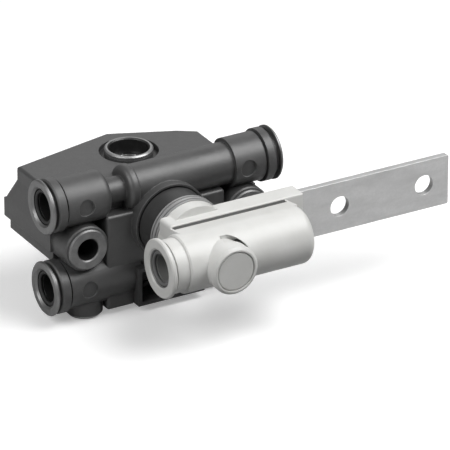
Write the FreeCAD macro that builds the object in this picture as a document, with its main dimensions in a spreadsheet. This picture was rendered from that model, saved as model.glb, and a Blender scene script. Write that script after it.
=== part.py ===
import FreeCAD
import Part
import Sketcher
import os
import re
from fcgear import fcgear, involute

# Air suspension leveling valve. A ported housing is bolted to the vehicle frame by two sleeves.
# A lever turns a shaft whose eccentric pin lifts or lowers a spool, and a small air cylinder in the
# lever's carrier turns the lever against the shaft by rack and pinion for a second ride height.
# Row frame: X along the ports and the lever, Y towards the vehicle frame, Z up. The origin is on the
# shaft's axis, in the plane of the housing's mounting face. All sizes are millimetres.

SIZES = {
    # Fits and general
    "fit": 0.05, "run": 0.04, "gap": 0.3, "small_chamfer": 0.5,
    # Mounting bolts and their steel sleeves
    "bolt_spacing": 68.0, "bolt_hole": 8.5, "bolt_drop": 4.4, "sleeve_wall": 2.2,
    "ring_radius": 8.0, "ring_thick": 1.2, "boss_radius": 8.9, "boss_face": 47.3,
    # Housing block, deck, skirt and tower
    "block_half": 43.5, "block_depth": 36.3, "block_floor": 8.1, "shoulder_level": 0.6,
    "deck_floor": 10.1, "deck_top": 15.5, "deck_left": 42.5, "deck_left_back": 9.1,
    "deck_right": 31.0, "deck_right_back": 15.0, "deck_corner": 24.4, "deck_corner_back": 10.5,
    "skirt_floor": 14.0, "skirt_inset": 2.5, "tower_half": 25.0, "tower_depth": 46.0,
    "tower_floor": 32.7, "tower_back": 6.0, "ledge_level": 5.5, "ledge_depth": 6.0,
    "edge_round": 1.2,
    # Front hub of the housing
    "hub_radius": 14.8, "hub_rise": 4.0, "hub_wall": 0.9, "hub_pocket": 4.0, "nose_radius": 9.4,
    # Crossbar with the two air spring ports
    "bar_back": 38.7, "bar_height": 12.4, "bar_radius": 8.0, "bar_left": 15.3, "bar_right": 29.0,
    "bar_step": 3.6, "bar_step_rise": 0.7, "bar_round": 2.2, "neck_radius": 5.0, "barrel_radius": 9.4,
    "barrel_end": 22.8, "barrel_round": 3.0, "collar_radius": 10.2, "collar_length": 3.5,
    "collar_groove": 0.8, "collar_groove_deep": 0.8, "port_reach": 48.5, "gallery_radius": 3.0,
    "mark_radius": 3.3, "mark_deep": 0.95, "mark_from_face": 14.3,
    # Supply port and its check valve
    "supply_reach": 47.5, "supply_drop": 21.2, "supply_radius": 9.5, "supply_end": 11.0,
    "check_inset": 4.0, "stub_radius": 7.0, "stub_floor": 33.5, "seat_radius": 1.9,
    "chamber_radius": 3.9, "seat_level": 25.2, "poppet_radius": 3.1, "poppet_disc": 1.3,
    "poppet_stem": 1.6, "poppet_lift": 1.5, "check_wire": 0.35, "check_cap_flange": 6.4,
    "check_cap_thick": 1.2, "check_cap_plug": 2.0, "hex_half": 2.0, "hex_deep": 1.6,
    # Port inserts and their seal rings
    "port_flange": 10.4, "port_flange_thick": 1.0, "port_groove": 1.6, "port_neck": 8.2,
    "port_shank": 7.2, "port_depth": 12.5, "mouth_radius": 6.85, "mouth_deep": 2.3,
    "mouth_chamfer": 0.9, "thread_radius": 5.19, "thread_length": 9.0, "port_seal_wire": 0.7,
    # Valve bore, sleeve and spool
    "valve_back": 17.5, "valve_bore": 7.0, "valve_floor": 30.0, "sleeve_top": 6.0,
    "spool_radius": 4.46, "spool_top": 3.2, "spool_foot": 28.1, "row_pitch": 3.8,
    "exhaust_level": 19.8, "row_hole": 1.2, "row_groove": 1.6, "row_groove_deep": 0.7,
    "seal_wire": 0.72, "land_radius": 2.99, "window_half": 4.6,
    # Top ring, plug and snap ring over the valve bore
    "top_well": 11.25, "top_ring": 9.2, "top_ring_rise": 1.5, "top_hole": 7.5, "top_shank": 8.5,
    "top_seat": 9.0, "top_plug_flange": 7.35, "top_plug_thick": 0.9,
    "snap_thick": 0.9, "snap_inner": 6.3, "snap_grip": 0.5, "snap_gap": 4.0,
    # Bottom cap of the valve bore
    "bottom_flange": 8.6, "bottom_thick": 1.5, "bottom_seal_wire": 0.7,
    # Lever shaft, its bush, seal and clip
    "shaft_radius": 5.0, "shaft_bore": 6.8, "bush_back": 27.5, "bush_inset": 4.4,
    "head_radius": 6.3, "head_thick": 2.0, "eccentric": 2.5, "pin_radius": 1.5, "pin_tip": 15.6,
    "slot_slack": 0.11, "clip_thick": 1.0, "clip_groove": 4.3, "lip_thick": 2.4,
    "front_radius": 3.0, "shaft_reach": 12.2, "flat_depth": 0.7,
    # Hub ring between the housing and the lever
    "hub_ring_radius": 13.6, "hub_ring_length": 9.0, "hub_ring_web": 5.4,
    # Exhaust hood and its flap
    "hood_half": 14.0, "hood_top": 16.6, "hood_floor": 32.0, "hood_rise": 4.0, "hood_wall": 1.5,
    "hood_pocket_deep": 7.8, "hood_inset": 1.5, "flap_thick": 1.1, "flap_slack": 0.5,
    "flap_drop": 1.1, "flap_pin": 0.6, "flap_clear": 0.4, "hood_post": 2.4,
    # Passages and their plugs
    "passage_radius": 1.5, "passage_step": 0.3, "passage_offset": 16.0, "delivery_drop": 1.6,
    "plug_radius": 2.6, "plug_length": 2.6,
    # Lever carrier with the height cylinder
    "spigot_start": 6.3, "spigot_radius": 9.0, "lobe_radius": 13.8, "lobe_back_rise": 0.6,
    "lobe_reach": 4.6, "cover_radius": 14.3, "cover_groove": 0.8, "cover_groove_deep": 0.7,
    "lever_reach": 14.4, "plate_thick": 8.2, "plate_left": 13.2, "plate_right": 42.9,
    "plate_half": 11.2, "plate_skin": 0.5, "plate_round": 1.5,
    "cylinder_reach": 9.8, "cylinder_radius": 11.0, "cylinder_bore": 8.5, "cylinder_left": 15.8,
    "cylinder_right": 37.0, "cylinder_end_wall": 4.0, "cylinder_round": 3.2, "web_slope": 10,
    "web_right": 36.0, "groove_wide": 1.8, "groove_floor": 7.0, "neck_left": 20.8,
    "neck_outer": 10.1, "knob_radius": 9.4, "knob_reach": 15.8, "knob_chamfer": 1.0,
    "crescent_out": 0.6, "crescent_in": 0.9, "crescent_start": 4.8, "crescent_end": 9.6,
    "crescent_low": 4.5, "crescent_left": 1.0, "crescent_right": 9.0,
    "crease_drop": 3.6, "crease_wide": 0.4, "crease_deep": 0.6,
    # Carrier bearings and front cap
    "nose_bush_start": 7.8, "nose_bush_end": 13.2, "front_cap_radius": 7.7,
    "front_cap_thick": 2.4,
    # Cylinder cap with the control port
    "cap_reach": 23.6, "cap_flange": 11.3, "cap_flange_thick": 2.0,
    "cap_neck": 9.7, "cap_end": 14.3, "cap_wall": 1.4, "cap_hole": 1.5,
    # Rack piston and pinion
    "gear_module": 1.0, "gear_teeth": 10, "pressure_angle": 25, "rack_addendum": 0.8,
    "rack_backlash": 0.16, "pinion_half": 5.5, "piston_left": 14.0, "piston_right": 12.0,
    "slot_top": 6.4, "slot_left": 9.2, "slot_right": 7.2, "piston_groove": 2.0,
    "piston_groove_deep": 1.5, "rack_teeth": 4, "guide_wide": 1.6, "guide_deep": 0.9,
    "spring_recess": 6.3, "spring_recess_deep": 2.5, "piston_wire": 0.6, "spring_coil": 5.2,
    # Lever strip and its screws
    "strip_left": 10.0, "strip_right": 107.4, "strip_half": 10.0, "strip_set": 5.6,
    "strip_thick": 2.5, "strip_round": 0.6, "link_hole": 8.0, "link_near": 60.3,
    "link_spacing": 36.6, "screw_radius": 2.0, "screw_near": 21.0, "screw_spacing": 14.0,
    "screw_head": 3.6, "screw_head_thick": 2.0, "screw_depth": 4.6, "driver_half": 1.3,
}

# Distances from the mounting face that follow from the sizes, from the back to the front.
PLACES = {
    "hood_pocket_back": "tower_depth - hood_pocket_deep",
    "flap_face": "hood_pocket_back + flap_clear",
    "hood_seat": "tower_depth - hood_inset",
    "hood_front": "tower_depth + hood_rise",
    "hub_face": "tower_depth + hub_rise",
    "bush_front": "hub_face - bush_inset",
    "carrier_back": "hub_face + spigot_start",
    "plate_back": "hub_face + lever_reach",
    "lobe_back": "plate_back - lobe_back_rise",
    "lobe_front": "plate_back + lobe_reach",
    "strip_front": "plate_back + strip_set",
    "plate_front": "plate_back + plate_thick",
    "cylinder_back": "plate_front + cylinder_reach",
    "crescent_back": "cylinder_back + crescent_start",
    "crescent_front": "cylinder_back + crescent_end",
    "nose_bush_back": "cylinder_back + nose_bush_start",
    "nose_bush_front": "cylinder_back + nose_bush_end",
    "front_end": "cylinder_back + shaft_reach",
    "knob_face": "cylinder_back + knob_reach",
}

doc = FreeCAD.newDocument("leveling_valve")
sheet = doc.addObject("Spreadsheet::Sheet", "sizes")
cells = [(alias, str(value)) for alias, value in SIZES.items()]
cells += [(alias, f"={formula}") for alias, formula in PLACES.items()]
for row, (alias, content) in enumerate(cells, start=1):
    sheet.set(f"A{row}", alias)
    sheet.set(f"B{row}", content)
    sheet.setAlias(f"B{row}", alias)
doc.recompute()

# How close two places must be to count as the same one, when edges are picked.
NEAR = 0.01

ALIAS = re.compile(r"\b(" + "|".join(alias for alias, content in cells) + r")\b")
subparts = []


def bind(thing, prop, expression):
    """Tie one property to the sheet. The expression names the sheet's aliases."""
    thing.setExpression(prop, ALIAS.sub(r"sizes.\1", str(expression)))


def number(expression):
    """The value of an expression of the sheet's aliases."""
    return eval_sheet(ALIAS.sub(lambda found: repr(float(sheet.get(found.group(1)))), str(expression)))


def eval_sheet(text):
    """The value of a plain arithmetic expression, worked out by the document itself."""
    return float(sheet.evalExpression(text))


# Each direction turns the local axis of a turned piece, or the local Z of a rod, to the row's axis.
X_TURN = {
    "+x": FreeCAD.Rotation(),
    "-x": FreeCAD.Rotation(FreeCAD.Vector(0, 0, 1), 180),
    "+y": FreeCAD.Rotation(FreeCAD.Vector(0, 0, 1), 90),
    "-y": FreeCAD.Rotation(FreeCAD.Vector(0, 0, 1), -90),
    "+z": FreeCAD.Rotation(FreeCAD.Vector(0, 1, 0), -90),
    "-z": FreeCAD.Rotation(FreeCAD.Vector(0, 1, 0), 90),
}
Z_TURN = {
    "x": FreeCAD.Rotation(FreeCAD.Vector(0, 1, 0), 90),
    "y": FreeCAD.Rotation(FreeCAD.Vector(1, 0, 0), -90),
    "z": FreeCAD.Rotation(),
}
PLANE_TURN = {
    "xy": FreeCAD.Rotation(),
    "xz": FreeCAD.Rotation(FreeCAD.Vector(1, 0, 0), 90),
    "yz": FreeCAD.Rotation(FreeCAD.Vector(1, 1, 1), 120),
}


def place(thing, rotation, x, y, z):
    """Give a thing its rotation, and a position bound to the sheet."""
    thing.Placement = FreeCAD.Placement(FreeCAD.Vector(), rotation)
    bind(thing, "Placement.Base.x", x)
    bind(thing, "Placement.Base.y", y)
    bind(thing, "Placement.Base.z", z)
    return thing


def rod(axis, radius, start, end, u, v):
    """A cylinder along a row axis from start to end. u and v are its other two coordinates in order."""
    thing = doc.addObject("Part::Cylinder", "rod")
    bind(thing, "Radius", radius)
    bind(thing, "Height", f"({end}) - ({start})")
    where = {"x": (start, u, v), "y": (u, start, v), "z": (u, v, start)}[axis]
    return place(thing, Z_TURN[axis], *where)


def block(x0, x1, y0, y1, z0, z1):
    """A box between its low and high corners."""
    thing = doc.addObject("Part::Box", "block")
    bind(thing, "Length", f"({x1}) - ({x0})")
    bind(thing, "Width", f"({y1}) - ({y0})")
    bind(thing, "Height", f"({z1}) - ({z0})")
    return place(thing, FreeCAD.Rotation(), x0, y0, z0)


def ring(axis, major, minor, x, y, z):
    """A round seal ring whose axis is a row axis."""
    thing = doc.addObject("Part::Torus", "ring")
    bind(thing, "Radius1", major)
    bind(thing, "Radius2", minor)
    return place(thing, Z_TURN[axis], x, y, z)


def fuse(*things):
    """One solid from several that overlap."""
    thing = doc.addObject("Part::MultiFuse", "fuse")
    thing.Shapes = list(things)
    thing.Refine = True
    return thing


def group(*things):
    """Separate like solids that share one node."""
    thing = doc.addObject("Part::Compound", "group")
    thing.Links = list(things)
    return thing


def cut(base, *tools):
    """The base less every tool."""
    thing = doc.addObject("Part::Cut", "cut")
    thing.Base = base
    thing.Tool = tools[0] if len(tools) == 1 else group(*tools)
    thing.Refine = True
    return thing


def common(first, second):
    """What two things share."""
    thing = doc.addObject("Part::Common", "common")
    thing.Base = first
    thing.Tool = second
    return thing


def new_body(name):
    return doc.addObject("PartDesign::Body", name)


def outline(body, points, plane="XY_Plane"):
    """A closed sketch of straight lines on the body's own plane, each corner bound to the sheet."""
    sketch = body.newObject("Sketcher::SketchObject", "outline")
    support = [item for item in body.Origin.OriginFeatures if item.Role == plane][0]
    sketch.AttachmentSupport = [(support, "")]
    sketch.MapMode = "FlatFace"
    corners = [FreeCAD.Vector(number(a), number(b), 0) for a, b in points]
    count = len(points)
    for index in range(count):
        sketch.addGeometry(Part.LineSegment(corners[index], corners[(index + 1) % count]))
    for index in range(count):
        sketch.addConstraint(Sketcher.Constraint("Coincident", index, 2, (index + 1) % count, 1))
    for index, (a, b) in enumerate(points):
        for kind, value, text in (("DistanceX", corners[index].x, a), ("DistanceY", corners[index].y, b)):
            dimension = sketch.addConstraint(Sketcher.Constraint(kind, -1, 1, index, 1, value))
            bind(sketch, f"Constraints[{dimension}]", text)
    return sketch


def turned(name, direction, profile, x="0", y="0", z="0"):
    """A turned piece. Its profile is pairs of place along the axis and radius."""
    body = new_body(name)
    sketch = outline(body, profile)
    turn = body.newObject("PartDesign::Revolution", "turn")
    turn.Profile = sketch
    turn.ReferenceAxis = (sketch, ["H_Axis"])
    turn.Angle = 360
    return place(body, X_TURN[direction], x, y, z)


def prism(name, plane, points, start, length):
    """A straight extrusion of an outline from start along +Z, -Y or +X for xy, xz and yz."""
    body = new_body(name)
    pad = body.newObject("PartDesign::Pad", "pad")
    pad.Profile = outline(body, points)
    bind(pad, "Length", length)
    where = {"xy": ("0", "0", start), "xz": ("0", start, "0"), "yz": (start, "0", "0")}[plane]
    return place(body, PLANE_TURN[plane], *where)


def rounded(body, radius, chosen):
    """Round the chosen edges of a body. chosen tells from an edge's box, in the body's own axes."""
    doc.recompute()
    tip = body.Tip
    names = [
        f"Edge{index}" for index, edge in enumerate(tip.Shape.Edges, start=1) if chosen(edge.BoundBox)
    ]
    fillet = body.newObject("PartDesign::Fillet", "round")
    fillet.Base = (tip, names)
    bind(fillet, "Radius", radius)
    return body


def spring(axis, coil, wire, start, length, turns, x, y, z):
    """A compression spring of round wire with its axis along a row axis."""
    helix = doc.addObject("Part::Helix", "helix")
    bind(helix, "Radius", coil)
    bind(helix, "Height", length)
    bind(helix, "Pitch", f"({length}) / {turns}")
    section = doc.addObject("Part::Circle", "section")
    bind(section, "Radius", wire)
    section.Placement.Rotation = FreeCAD.Rotation(FreeCAD.Vector(1, 0, 0), 90)
    bind(section, "Placement.Base.x", coil)
    sweep = doc.addObject("Part::Sweep", "wire")
    sweep.Sections = [section]
    sweep.Spine = (helix, ["Edge1"])
    sweep.Solid = True
    sweep.Frenet = True
    return place(group(sweep), Z_TURN[axis], x, y, z)


def keep(name, thing):
    """Name a finished sub-part. The label is its file's name."""
    thing.Label = name
    subparts.append(thing)
    return thing


# Places that several pieces share, as expressions of the sheet's aliases.
BOLT_X = "(bolt_spacing / 2)"
SLEEVE_RADIUS = "(bolt_hole / 2 + sleeve_wall)"
COLLAR_FACE = "(port_reach - port_flange_thick - port_groove)"
SUPPLY_COLLAR_FACE = "(supply_reach - port_flange_thick - port_groove)"
ROWS = ["-exhaust_level", "-(exhaust_level + row_pitch)", "-(exhaust_level + 2 * row_pitch)"]
SUPPLY_LEVEL = ROWS[2]
DELIVERY_LEVEL = ROWS[1]
REAR_LEVEL = f"({DELIVERY_LEVEL} - delivery_drop)"
SLEEVE_INNER = "(spool_radius + run)"
SLEEVE_OUTER = "(valve_bore - fit)"
CHECK_X = "(-(supply_reach - port_depth - check_inset))"
PISTON_RADIUS = "(cylinder_bore - run)"
PITCH_RADIUS = "(gear_module * gear_teeth / 2)"
TOP_SEAL_LEVEL = "((sleeve_top + gap + top_seat) / 2)"
HUB_RING_END = "(hub_face + gap + hub_ring_length)"
PLATE_TOP = "(strip_half + plate_skin)"


def barrel_profile(collar_face, inner_end, radius):
    """Port barrel from its collar's face inwards: collar, thin groove, barrel with a rounded end."""
    edge = "small_chamfer"
    groove_start = f"{collar_face} - collar_length"
    groove_end = f"{collar_face} - collar_length - collar_groove"
    return [
        (collar_face, "0"),
        (collar_face, f"collar_radius - {edge}"),
        (f"{collar_face} - {edge}", "collar_radius"),
        (groove_start, "collar_radius"),
        (groove_start, f"{radius} - collar_groove_deep"),
        (groove_end, f"{radius} - collar_groove_deep"),
        (groove_end, radius),
        (inner_end, radius),
        (inner_end, "0"),
    ]


def housing_block():
    """Block behind the bosses: a straight lower part, and an upper part that slopes to the deck."""
    lower = block("-block_half", "block_half", "-block_depth", "0", "-block_floor", "-shoulder_level")
    body = new_body("shoulder")
    wide = outline(body, [
        ("-block_half", "-block_depth"), ("block_half", "-block_depth"), ("block_half", "-edge_round"),
        ("deck_corner", "0"), ("0", "0"), ("-block_half", "-edge_round"),
    ])
    wide.AttachmentOffset.Base.z = -number("shoulder_level")
    bind(wide, "AttachmentOffset.Base.z", "-shoulder_level")
    narrow = outline(body, deck_outline("0"))
    bind(narrow, "AttachmentOffset.Base.z", "deck_floor")
    loft = body.newObject("PartDesign::AdditiveLoft", "slope")
    loft.Profile = wide
    loft.Sections = [narrow]
    loft.Ruled = True
    skirt = block(
        "-(block_half - skirt_inset)", "block_half - skirt_inset", "-(block_depth - skirt_inset)", "0",
        "-skirt_floor", "-block_floor",
    )
    return [lower, body, skirt]


def deck_outline(inset):
    """Plan of the deck: a shallow gable that meets the mounting face on the shaft's plane."""
    return [
        (f"-deck_left + {inset}", "-block_depth"), (f"deck_right - {inset}", "-block_depth"),
        (f"deck_right - {inset}", "-deck_right_back"),
        (f"deck_corner - {inset}", f"-deck_corner_back - {inset}"),
        ("0", f"-{inset}"), (f"-deck_left + {inset}", f"-deck_left_back - {inset}"),
    ]


def valve_body():
    """Cast housing with its deck, crossbar, port barrels, bosses, tower, hub and every bore."""
    deck = prism("deck", "xy", deck_outline("0"), "deck_floor", "deck_top - deck_floor")
    rounded(deck, "edge_round", lambda box: box.ZMin > number("deck_top - deck_floor") - NEAR
            and box.YMax > number("-block_depth") + NEAR)
    tower = prism("tower", "yz", [
        ("-tower_depth", "-tower_floor"), ("-tower_depth", "ledge_level"),
        ("-(tower_depth - ledge_depth)", "ledge_level"), ("-(tower_depth - ledge_depth)", "deck_floor"),
        ("-tower_back", "deck_floor"), ("-tower_back", "-tower_floor"),
    ], "-tower_half", "2 * tower_half")
    rounded(tower, "edge_round", lambda box: (box.ZLength > number("tower_half"))
            and box.XMin < -number("tower_depth") + NEAR)
    rounded(tower, "edge_round", lambda box: box.XLength < NEAR and box.ZLength < NEAR
            and box.XMin < -number("tower_depth") + NEAR)
    solids = housing_block() + [deck, tower]
    for side in (-1, 1):
        centre = f"{side} * {BOLT_X}"
        solids.append(turned("boss", "-y", [
            ("0", "0"), ("boss_face", "0"), ("boss_face", "boss_radius - small_chamfer"),
            ("boss_face - small_chamfer", "boss_radius"), ("0", "boss_radius"),
        ], x=centre, y="0", z="-bolt_drop"))
    solids.append(turned("hub", "-y", [
        ("tower_depth - ledge_depth", "0"), ("hub_face", "0"), ("hub_face", "nose_radius"),
        ("hub_face - hub_pocket", "nose_radius"), ("hub_face - hub_pocket", "hub_radius - hub_wall"),
        ("hub_face", "hub_radius - hub_wall"), ("hub_face", "hub_radius"),
        ("tower_depth - ledge_depth", "hub_radius"),
    ]))
    bar = turned("crossbar", "+x", [
        ("-barrel_end", "0"), ("-barrel_end", "neck_radius"), ("-bar_left", "neck_radius"),
        ("-bar_left", "bar_radius + bar_step_rise"),
        ("-bar_left + bar_step", "bar_radius + bar_step_rise"),
        ("-bar_left + bar_step + bar_step_rise", "bar_radius"), ("bar_right", "bar_radius"),
        ("bar_right", "0"),
    ], y="-bar_back", z="bar_height")
    rounded(bar, "bar_round", lambda box: box.XLength < NEAR and box.YLength > number("2 * bar_radius")
            and box.XMin < -number("bar_left") + NEAR)
    solids.append(bar)
    left = turned("barrel", "-x", barrel_profile(COLLAR_FACE, "barrel_end", "barrel_radius"),
                  y="-bar_back", z="bar_height")
    rounded(left, "barrel_round", lambda box: box.XMax < number("barrel_end") + NEAR)
    right = turned("barrel", "+x", barrel_profile(COLLAR_FACE, "bar_right", "barrel_radius"),
                   y="-bar_back", z="bar_height")
    supply = turned("barrel", "-x", barrel_profile(SUPPLY_COLLAR_FACE, "supply_end", "supply_radius"),
                    y="-bar_back", z="-supply_drop")
    stub = rod("z", "stub_radius", "-stub_floor", "-supply_drop", CHECK_X, "-bar_back")
    top_boss = rod("z", "top_well", "0", "deck_floor", "0", "-valve_back")
    solids += [left, right, supply, stub, top_boss]
    return cut(fuse(*solids), *valve_body_bores())


def valve_body_bores():
    """Every hole of the housing."""
    bores = []
    for side in (-1, 1):
        bores.append(rod("y", f"{SLEEVE_RADIUS} + fit", "-boss_face - 1", "1", f"{side} * {BOLT_X}",
                         "-bolt_drop"))
    depth = "(port_reach - port_depth)"
    bores.append(rod("x", "gallery_radius", f"-{depth} - 1", f"{depth} + 1", "-bar_back", "bar_height"))
    bores.append(rod("x", "port_shank + fit", depth, "port_reach", "-bar_back", "bar_height"))
    bores.append(rod("x", "port_shank + fit", "-port_reach", f"-{depth}", "-bar_back", "bar_height"))
    supply_depth = "(supply_reach - port_depth)"
    bores.append(rod("x", "port_shank + fit", "-supply_reach", f"-{supply_depth}", "-bar_back",
                     "-supply_drop"))
    bores.append(rod("x", "gallery_radius", f"-{supply_depth} - 1", f"{CHECK_X} + gallery_radius",
                     "-bar_back", "-supply_drop"))
    bores.append(rod("z", "seat_radius", "-seat_level - 1", "-supply_drop", CHECK_X, "-bar_back"))
    bores.append(rod("z", "chamber_radius", "-stub_floor - 1", "-seat_level", CHECK_X, "-bar_back"))
    bores.append(rod("y", "shaft_bore", "-hub_face - 1", "-valve_back", "0", "0"))
    bores.append(rod("z", "valve_bore", "-tower_floor - 1", "top_seat", "0", "-valve_back"))
    bores.append(rod("z", "top_shank + fit", "top_seat", "deck_top + 1", "0", "-valve_back"))
    bores.append(cut(
        rod("z", "top_well", "deck_top - 2", "deck_top + 1", "0", "-valve_back"),
        rod("z", "top_ring", "deck_top - 3", "deck_top", "0", "-valve_back"),
    ))
    bores += passages()
    bores.append(block("-(hood_half - hood_wall)", "hood_half - hood_wall", "-hood_front - 1",
                       "-hood_pocket_back", "-(hood_floor - hood_wall)", "-(hood_top + hood_wall)"))
    bores.append(block("-hood_half - fit", "hood_half + fit", "-hood_front - 1", "-hood_seat",
                       "-tower_floor - 1", "-hood_top + fit"))
    clear = "port_flange + gap"
    bores.append(rod("x", clear, COLLAR_FACE, "port_reach + block_half", "-bar_back", "bar_height"))
    bores.append(rod("x", clear, "-port_reach - block_half", f"-{COLLAR_FACE}", "-bar_back", "bar_height"))
    bores.append(rod("x", clear, "-supply_reach - block_half", f"-{SUPPLY_COLLAR_FACE}", "-bar_back",
                     "-supply_drop"))
    for face, height, drop in (("port_reach", "bar_height", "barrel_radius"),
                               ("-port_reach", "bar_height", "barrel_radius"),
                               ("-supply_reach", "-supply_drop", "supply_radius")):
        inward = "+" if face.startswith("-") else "-"
        bores.append(rod("y", "mark_radius", f"-bar_back - {drop} - 1",
                         f"-bar_back - {drop} + mark_deep", f"{face} {inward} mark_from_face", height))
    return bores


def passages():
    """Drilled air ways from the ports to the three rows of the valve, with their plug seats."""
    left, right, middle = "(-passage_offset)", "(passage_offset)", "-bar_back"
    wide = "passage_radius + passage_step"
    front = f"{middle} - passage_radius - 2 * passage_step"
    ways = [
        rod("x", "passage_radius", CHECK_X, left, middle, SUPPLY_LEVEL),
        rod("y", wide, front, "-tower_back + 1", left, SUPPLY_LEVEL),
        rod("x", "passage_radius", "-tower_half - 1", "-valve_bore + 1", "-valve_back", SUPPLY_LEVEL),
        rod("x", "passage_radius", "valve_bore - 1", "tower_half + 1", "-valve_back", DELIVERY_LEVEL),
        rod("y", wide, front, "-tower_back + 1", right, REAR_LEVEL),
        rod("z", "passage_radius", "-tower_floor - 1", "bar_height", right, middle),
        rod("y", "passage_radius", "-hood_pocket_back - 1", "-valve_back - valve_bore + 1", "0",
            "-exhaust_level"),
    ]
    return ways + [plug_rod(place_name, "fit", "1") for place_name in PLUG_PLACES]


PLUG_PLACES = ("rear left", "rear right", "side left", "side right", "bottom")


def plug_rod(place_name, slack, stand):
    """A plug, or with slack its seat, at the outer end of one drilled way."""
    radius = f"plug_radius + {slack}"
    if place_name == "rear left":
        return rod("y", radius, "-tower_back - plug_length", f"-tower_back + {stand}",
                   "-passage_offset", SUPPLY_LEVEL)
    if place_name == "rear right":
        return rod("y", radius, "-tower_back - plug_length", f"-tower_back + {stand}",
                   "passage_offset", REAR_LEVEL)
    if place_name == "side left":
        return rod("x", radius, f"-tower_half - {stand}", "-tower_half + plug_length", "-valve_back",
                   SUPPLY_LEVEL)
    if place_name == "side right":
        return rod("x", radius, "tower_half - plug_length", f"tower_half + {stand}", "-valve_back",
                   DELIVERY_LEVEL)
    return rod("z", radius, f"-tower_floor - {stand}", "-tower_floor + plug_length", "passage_offset",
               "-bar_back")


def mount_sleeve(side):
    """Flanged steel sleeve that a mounting bolt clamps."""
    hole = "bolt_hole / 2"
    return turned("sleeve", "-y", [
        ("0", hole), ("boss_face + ring_thick - small_chamfer", hole),
        ("boss_face + ring_thick", f"{hole} + small_chamfer"),
        ("boss_face + ring_thick", "ring_radius - small_chamfer"),
        ("boss_face + ring_thick - small_chamfer", "ring_radius"), ("boss_face", "ring_radius"),
        ("boss_face", SLEEVE_RADIUS), ("0", SLEEVE_RADIUS),
    ], x=f"{side} * {BOLT_X}", z="-bolt_drop")


def port_insert(direction, x, y, z):
    """Threaded metal port: mouth for the seal ring, thread, and a hole to the gallery."""
    thread_end = "mouth_deep + thread_length"
    shoulder = "port_flange_thick + port_groove"
    return turned("insert", direction, [
        ("0", "mouth_radius + mouth_chamfer"), ("mouth_chamfer", "mouth_radius"),
        ("mouth_deep", "mouth_radius"), ("mouth_deep", "thread_radius"), (thread_end, "thread_radius"),
        (thread_end, "gallery_radius"), ("port_depth", "gallery_radius"), ("port_depth", "port_shank"),
        (shoulder, "port_shank"), (shoulder, "port_neck"), ("port_flange_thick", "port_neck"),
        ("port_flange_thick", "port_flange"), ("small_chamfer", "port_flange"),
        ("0", "port_flange - small_chamfer"),
    ], x=x, y=y, z=z)


def port_seal(side, reach, height):
    """Seal ring on the step of a port's mouth."""
    return ring("x", "mouth_radius - port_seal_wire - fit", "port_seal_wire",
                f"{side} * ({reach} - mouth_deep + port_seal_wire)", "-bar_back", height)


def valve_sleeve():
    """Ported sleeve of the spool, with a window for the eccentric pin."""
    profile = [("-valve_floor", SLEEVE_INNER), ("sleeve_top", SLEEVE_INNER), ("sleeve_top", SLEEVE_OUTER)]
    for level in ROWS:
        profile += [
            (f"{level} + row_groove / 2", SLEEVE_OUTER),
            (f"{level} + row_groove / 2", f"{SLEEVE_OUTER} - row_groove_deep"),
            (f"{level} - row_groove / 2", f"{SLEEVE_OUTER} - row_groove_deep"),
            (f"{level} - row_groove / 2", SLEEVE_OUTER),
        ]
    profile.append(("-valve_floor", SLEEVE_OUTER))
    tube = turned("sleeve", "+z", profile, y="-valve_back")
    tools = []
    for level in ROWS:
        tools.append(rod("x", "row_hole", "-valve_bore - 1", "valve_bore + 1", "-valve_back", level))
        tools.append(rod("y", "row_hole", "-valve_back - valve_bore - 1", "-valve_back + valve_bore + 1",
                         "0", level))
    tools.append(block("-window_half", "window_half", "-valve_back - valve_bore - 1", "-valve_back",
                       "-window_half", "window_half"))
    return cut(tube, *tools)


def valve_spool():
    """Spool with three seal grooves, two flow grooves and a side slot for the eccentric pin."""
    groove = "(seal_wire + fit)"
    seals = spool_seal_levels()
    profile = [("spool_top", "0"), ("spool_top", "spool_radius - small_chamfer"),
               ("spool_top - small_chamfer", "spool_radius")]
    for level in seals:
        profile += [
            (f"{level} + {groove}", "spool_radius"), (f"{level} + {groove}", "land_radius"),
            (f"{level} - {groove}", "land_radius"), (f"{level} - {groove}", "spool_radius"),
        ]
    profile += [("-spool_foot + small_chamfer", "spool_radius"),
                ("-spool_foot", "spool_radius - small_chamfer"), ("-spool_foot", "0")]
    spool = turned("spool", "+z", profile, y="-valve_back")
    half = "(pin_radius + slot_slack)"
    slot = block("-(pin_radius - eccentric + 1.4)", "spool_radius + 1", "-valve_back - spool_radius - 1",
                 "-valve_back + spool_radius + 1", f"-{half}", half)
    return cut(spool, slot)


def spool_seal_levels():
    """Seals above the exhaust row, between the rows, and below the supply row, from the top."""
    levels = ["-(exhaust_level - row_pitch)"]
    levels += [f"-(exhaust_level + {step} * row_pitch)" for step in (0.5, 1.5)]
    return levels


def seal_stack(levels, major, minor, y):
    """Like seal rings one above another."""
    return group(*[ring("z", major, minor, "0", y, level) for level in levels])


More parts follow.
